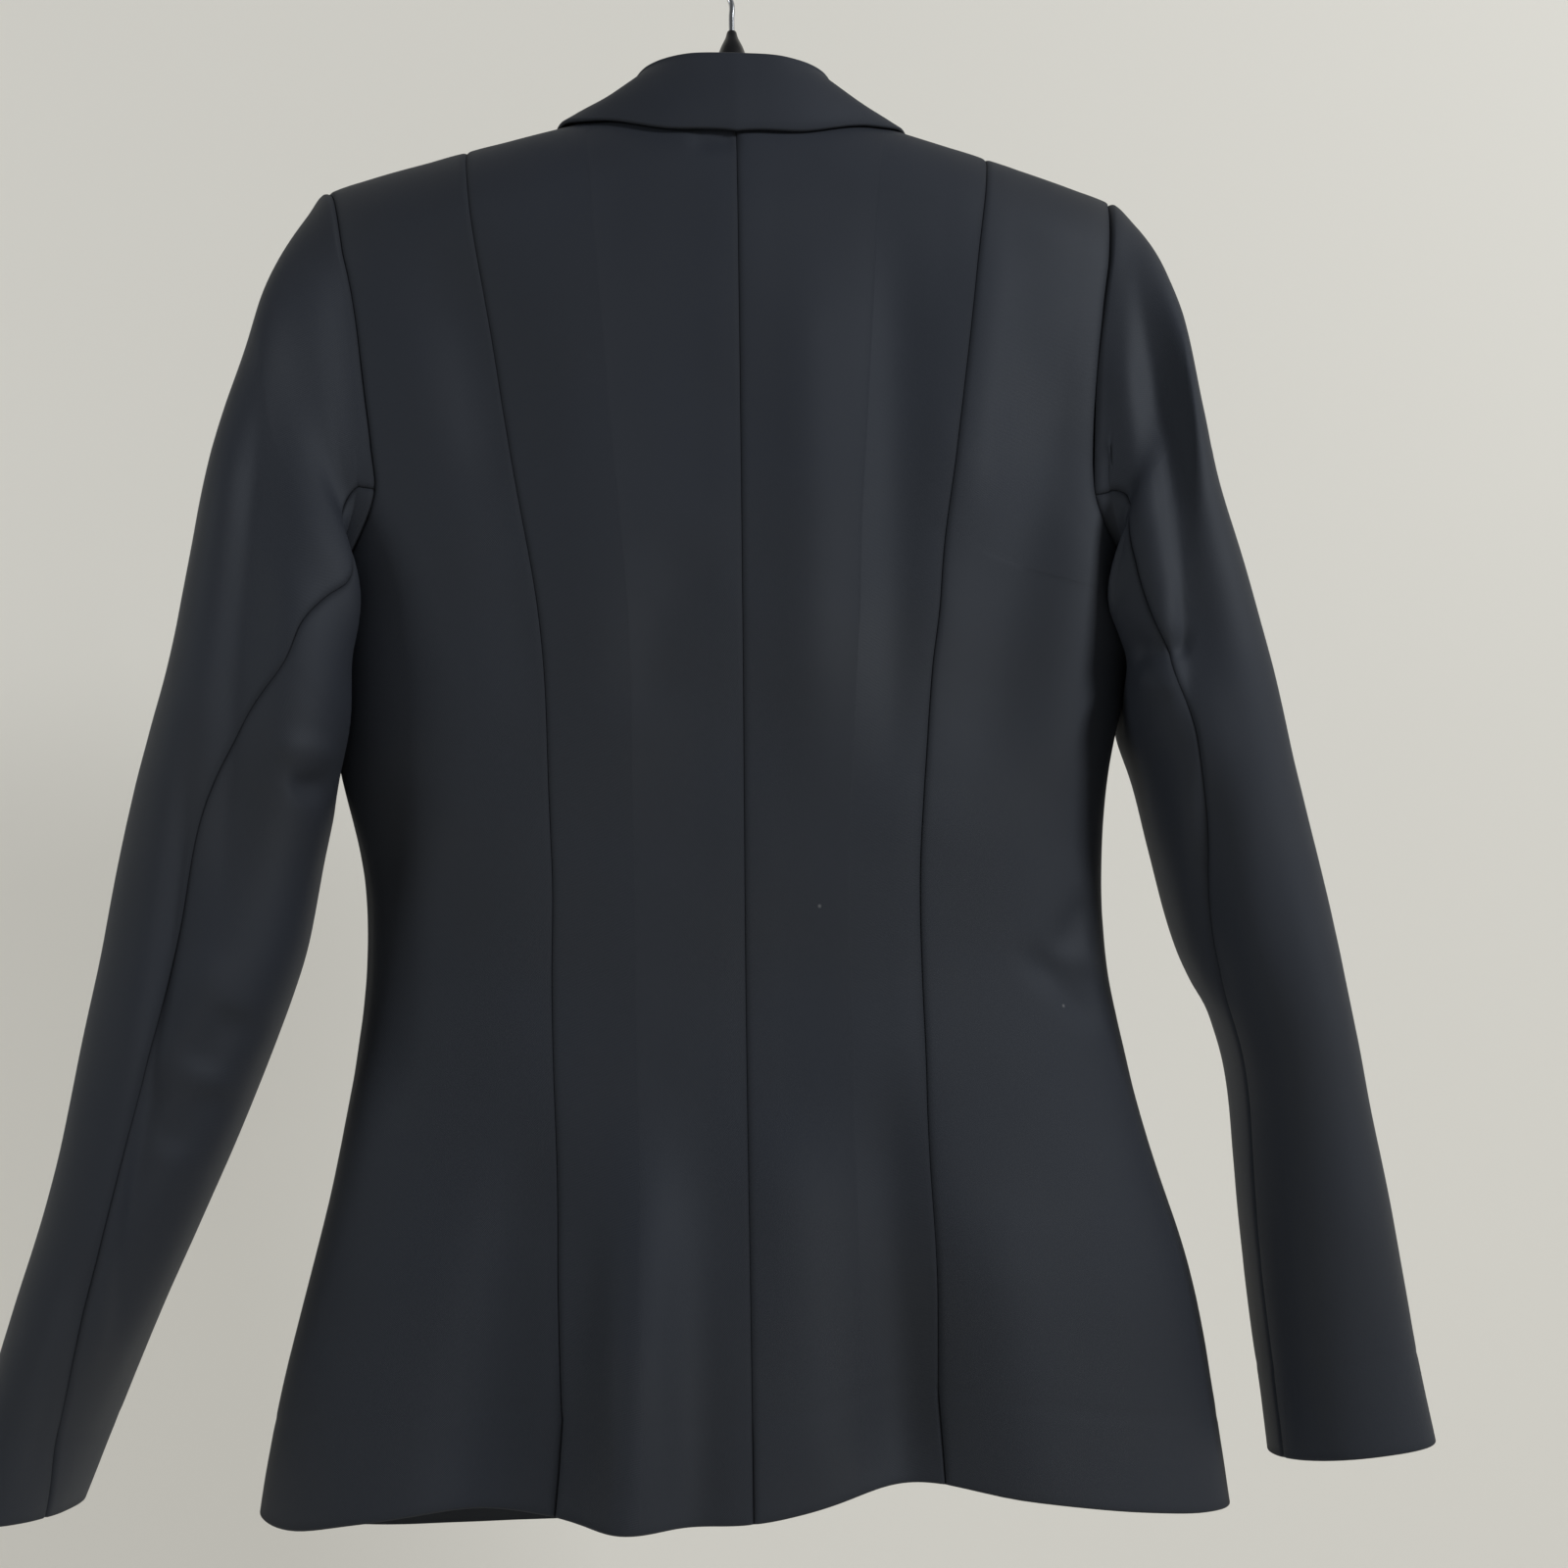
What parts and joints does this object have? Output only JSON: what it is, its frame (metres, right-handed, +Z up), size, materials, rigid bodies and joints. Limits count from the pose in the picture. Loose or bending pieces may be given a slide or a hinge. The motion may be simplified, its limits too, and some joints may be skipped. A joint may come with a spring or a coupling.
{
  "type": "blazer on a hanger",
  "caption": "Long-line fitted blazer with notched lapels, turned collar, princess seams and set-in two-piece sleeves, hanging hollow and open on a slim hanger.",
  "frame": {"origin": "inside top of the hanger's hook, where a rail or peg carries it", "axes": "+Z up, +Y out of the blazer's back, -Y out of its front, +X to the wearer's left"},
  "size_m": [0.617, 0.1414, 0.7825],
  "materials": {
    "suiting": "smooth fine twill with a soft low sheen",
    "black_plastic": "satin moulded",
    "bright_steel": "plated wire"
  },
  "bodies": {
    "root": {"back_centre_left": "suiting", "back_centre_right": "suiting", "back_side_left": "suiting", "back_side_right": "suiting", "front_left": "suiting", "front_right": "suiting", "lapel_left": "suiting", "lapel_right": "suiting", "collar": "suiting", "top_sleeve_left": "suiting", "top_sleeve_right": "suiting", "under_sleeve_left": "suiting", "under_sleeve_right": "suiting", "button": "black_plastic", "hanger_bar": "black_plastic", "hanger_neck": "black_plastic", "hanger_hook": "bright_steel"}
  },
  "joints": []
}
